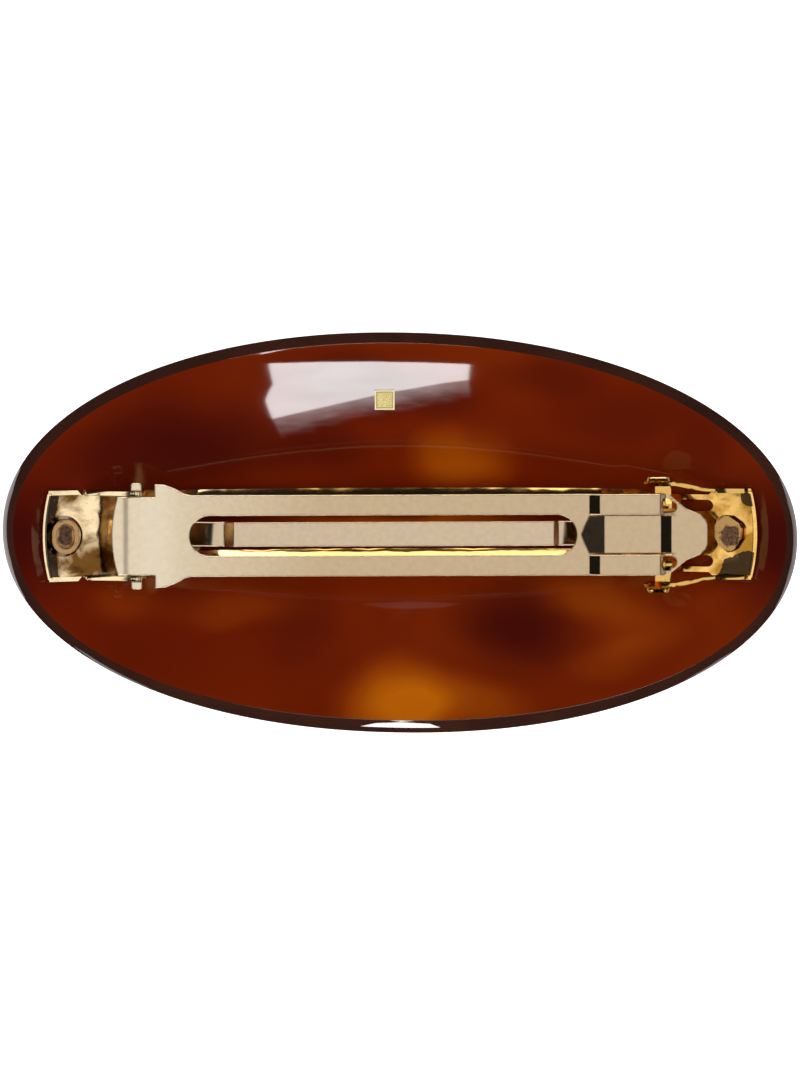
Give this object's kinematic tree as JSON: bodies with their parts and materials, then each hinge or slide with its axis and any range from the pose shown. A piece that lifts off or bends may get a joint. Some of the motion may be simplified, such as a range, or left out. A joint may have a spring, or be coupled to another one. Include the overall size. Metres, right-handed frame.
{
  "type": "hair barrette",
  "caption": "Oval domed tortoiseshell hair barrette with a riveted French clip, closed, with hinged arm, sprung bar and squeeze catch.",
  "frame": {"origin": "on the floor under the middle of the bounding box, in the resting pose on the domed front", "axes": "+Z towards the clip side, away from the domed front; +X from the clip's hinge end to its catch end; +Y across the plate, towards the foil stamp"},
  "size_m": [0.0902, 0.0462, 0.0131],
  "materials": {
    "acetate": "polished tortoiseshell acetate, deep red-brown with amber clouds",
    "gold_metal": "mirror-polished pale champagne gold plating",
    "rivet_metal": "matte, rough gold with darker speckle",
    "gold_foil": "hot-stamped gold foil"
  },
  "bodies": {
    "barrette": {"oval_plate": "acetate", "base_plate": "gold_metal", "hinge_rivet": "rivet_metal", "catch_rivet": "rivet_metal", "foil_stamp": "gold_foil"},
    "arm": {"clasp_arm": "gold_metal"},
    "bar": {"tension_bar": "gold_metal"},
    "lever_upper": {"catch_lever_upper": "gold_metal"},
    "lever_lower": {"catch_lever_lower": "gold_metal"}
  },
  "joints": [
    {"name": "clasp_hinge", "type": "hinge", "parent": "barrette", "child": "arm", "pos_m": [-0.0298, 0, 0.0114], "axis": [0, -1, 0], "range_deg": [0, 75]},
    {"name": "bar_flex", "type": "hinge", "parent": "barrette", "child": "bar", "pos_m": [-0.0255, 0, 0.0076], "axis": [0, 1, 0], "range_deg": [0, 2], "stiffness_Nm_per_rad": 0.05, "springref_deg": -5.73},
    {"name": "upper_squeeze", "type": "hinge", "parent": "barrette", "child": "lever_upper", "pos_m": [0.0356, 0.00495, 0.0113], "axis": [0, 0, 1], "range_deg": [0, 4.8], "stiffness_Nm_per_rad": 0.02, "springref_deg": -5.73},
    {"name": "lower_squeeze", "type": "hinge", "parent": "barrette", "child": "lever_lower", "pos_m": [0.0356, -0.00495, 0.0113], "axis": [0, 0, -1], "range_deg": [0, 4.8], "stiffness_Nm_per_rad": 0.02, "springref_deg": -5.73}
  ]
}
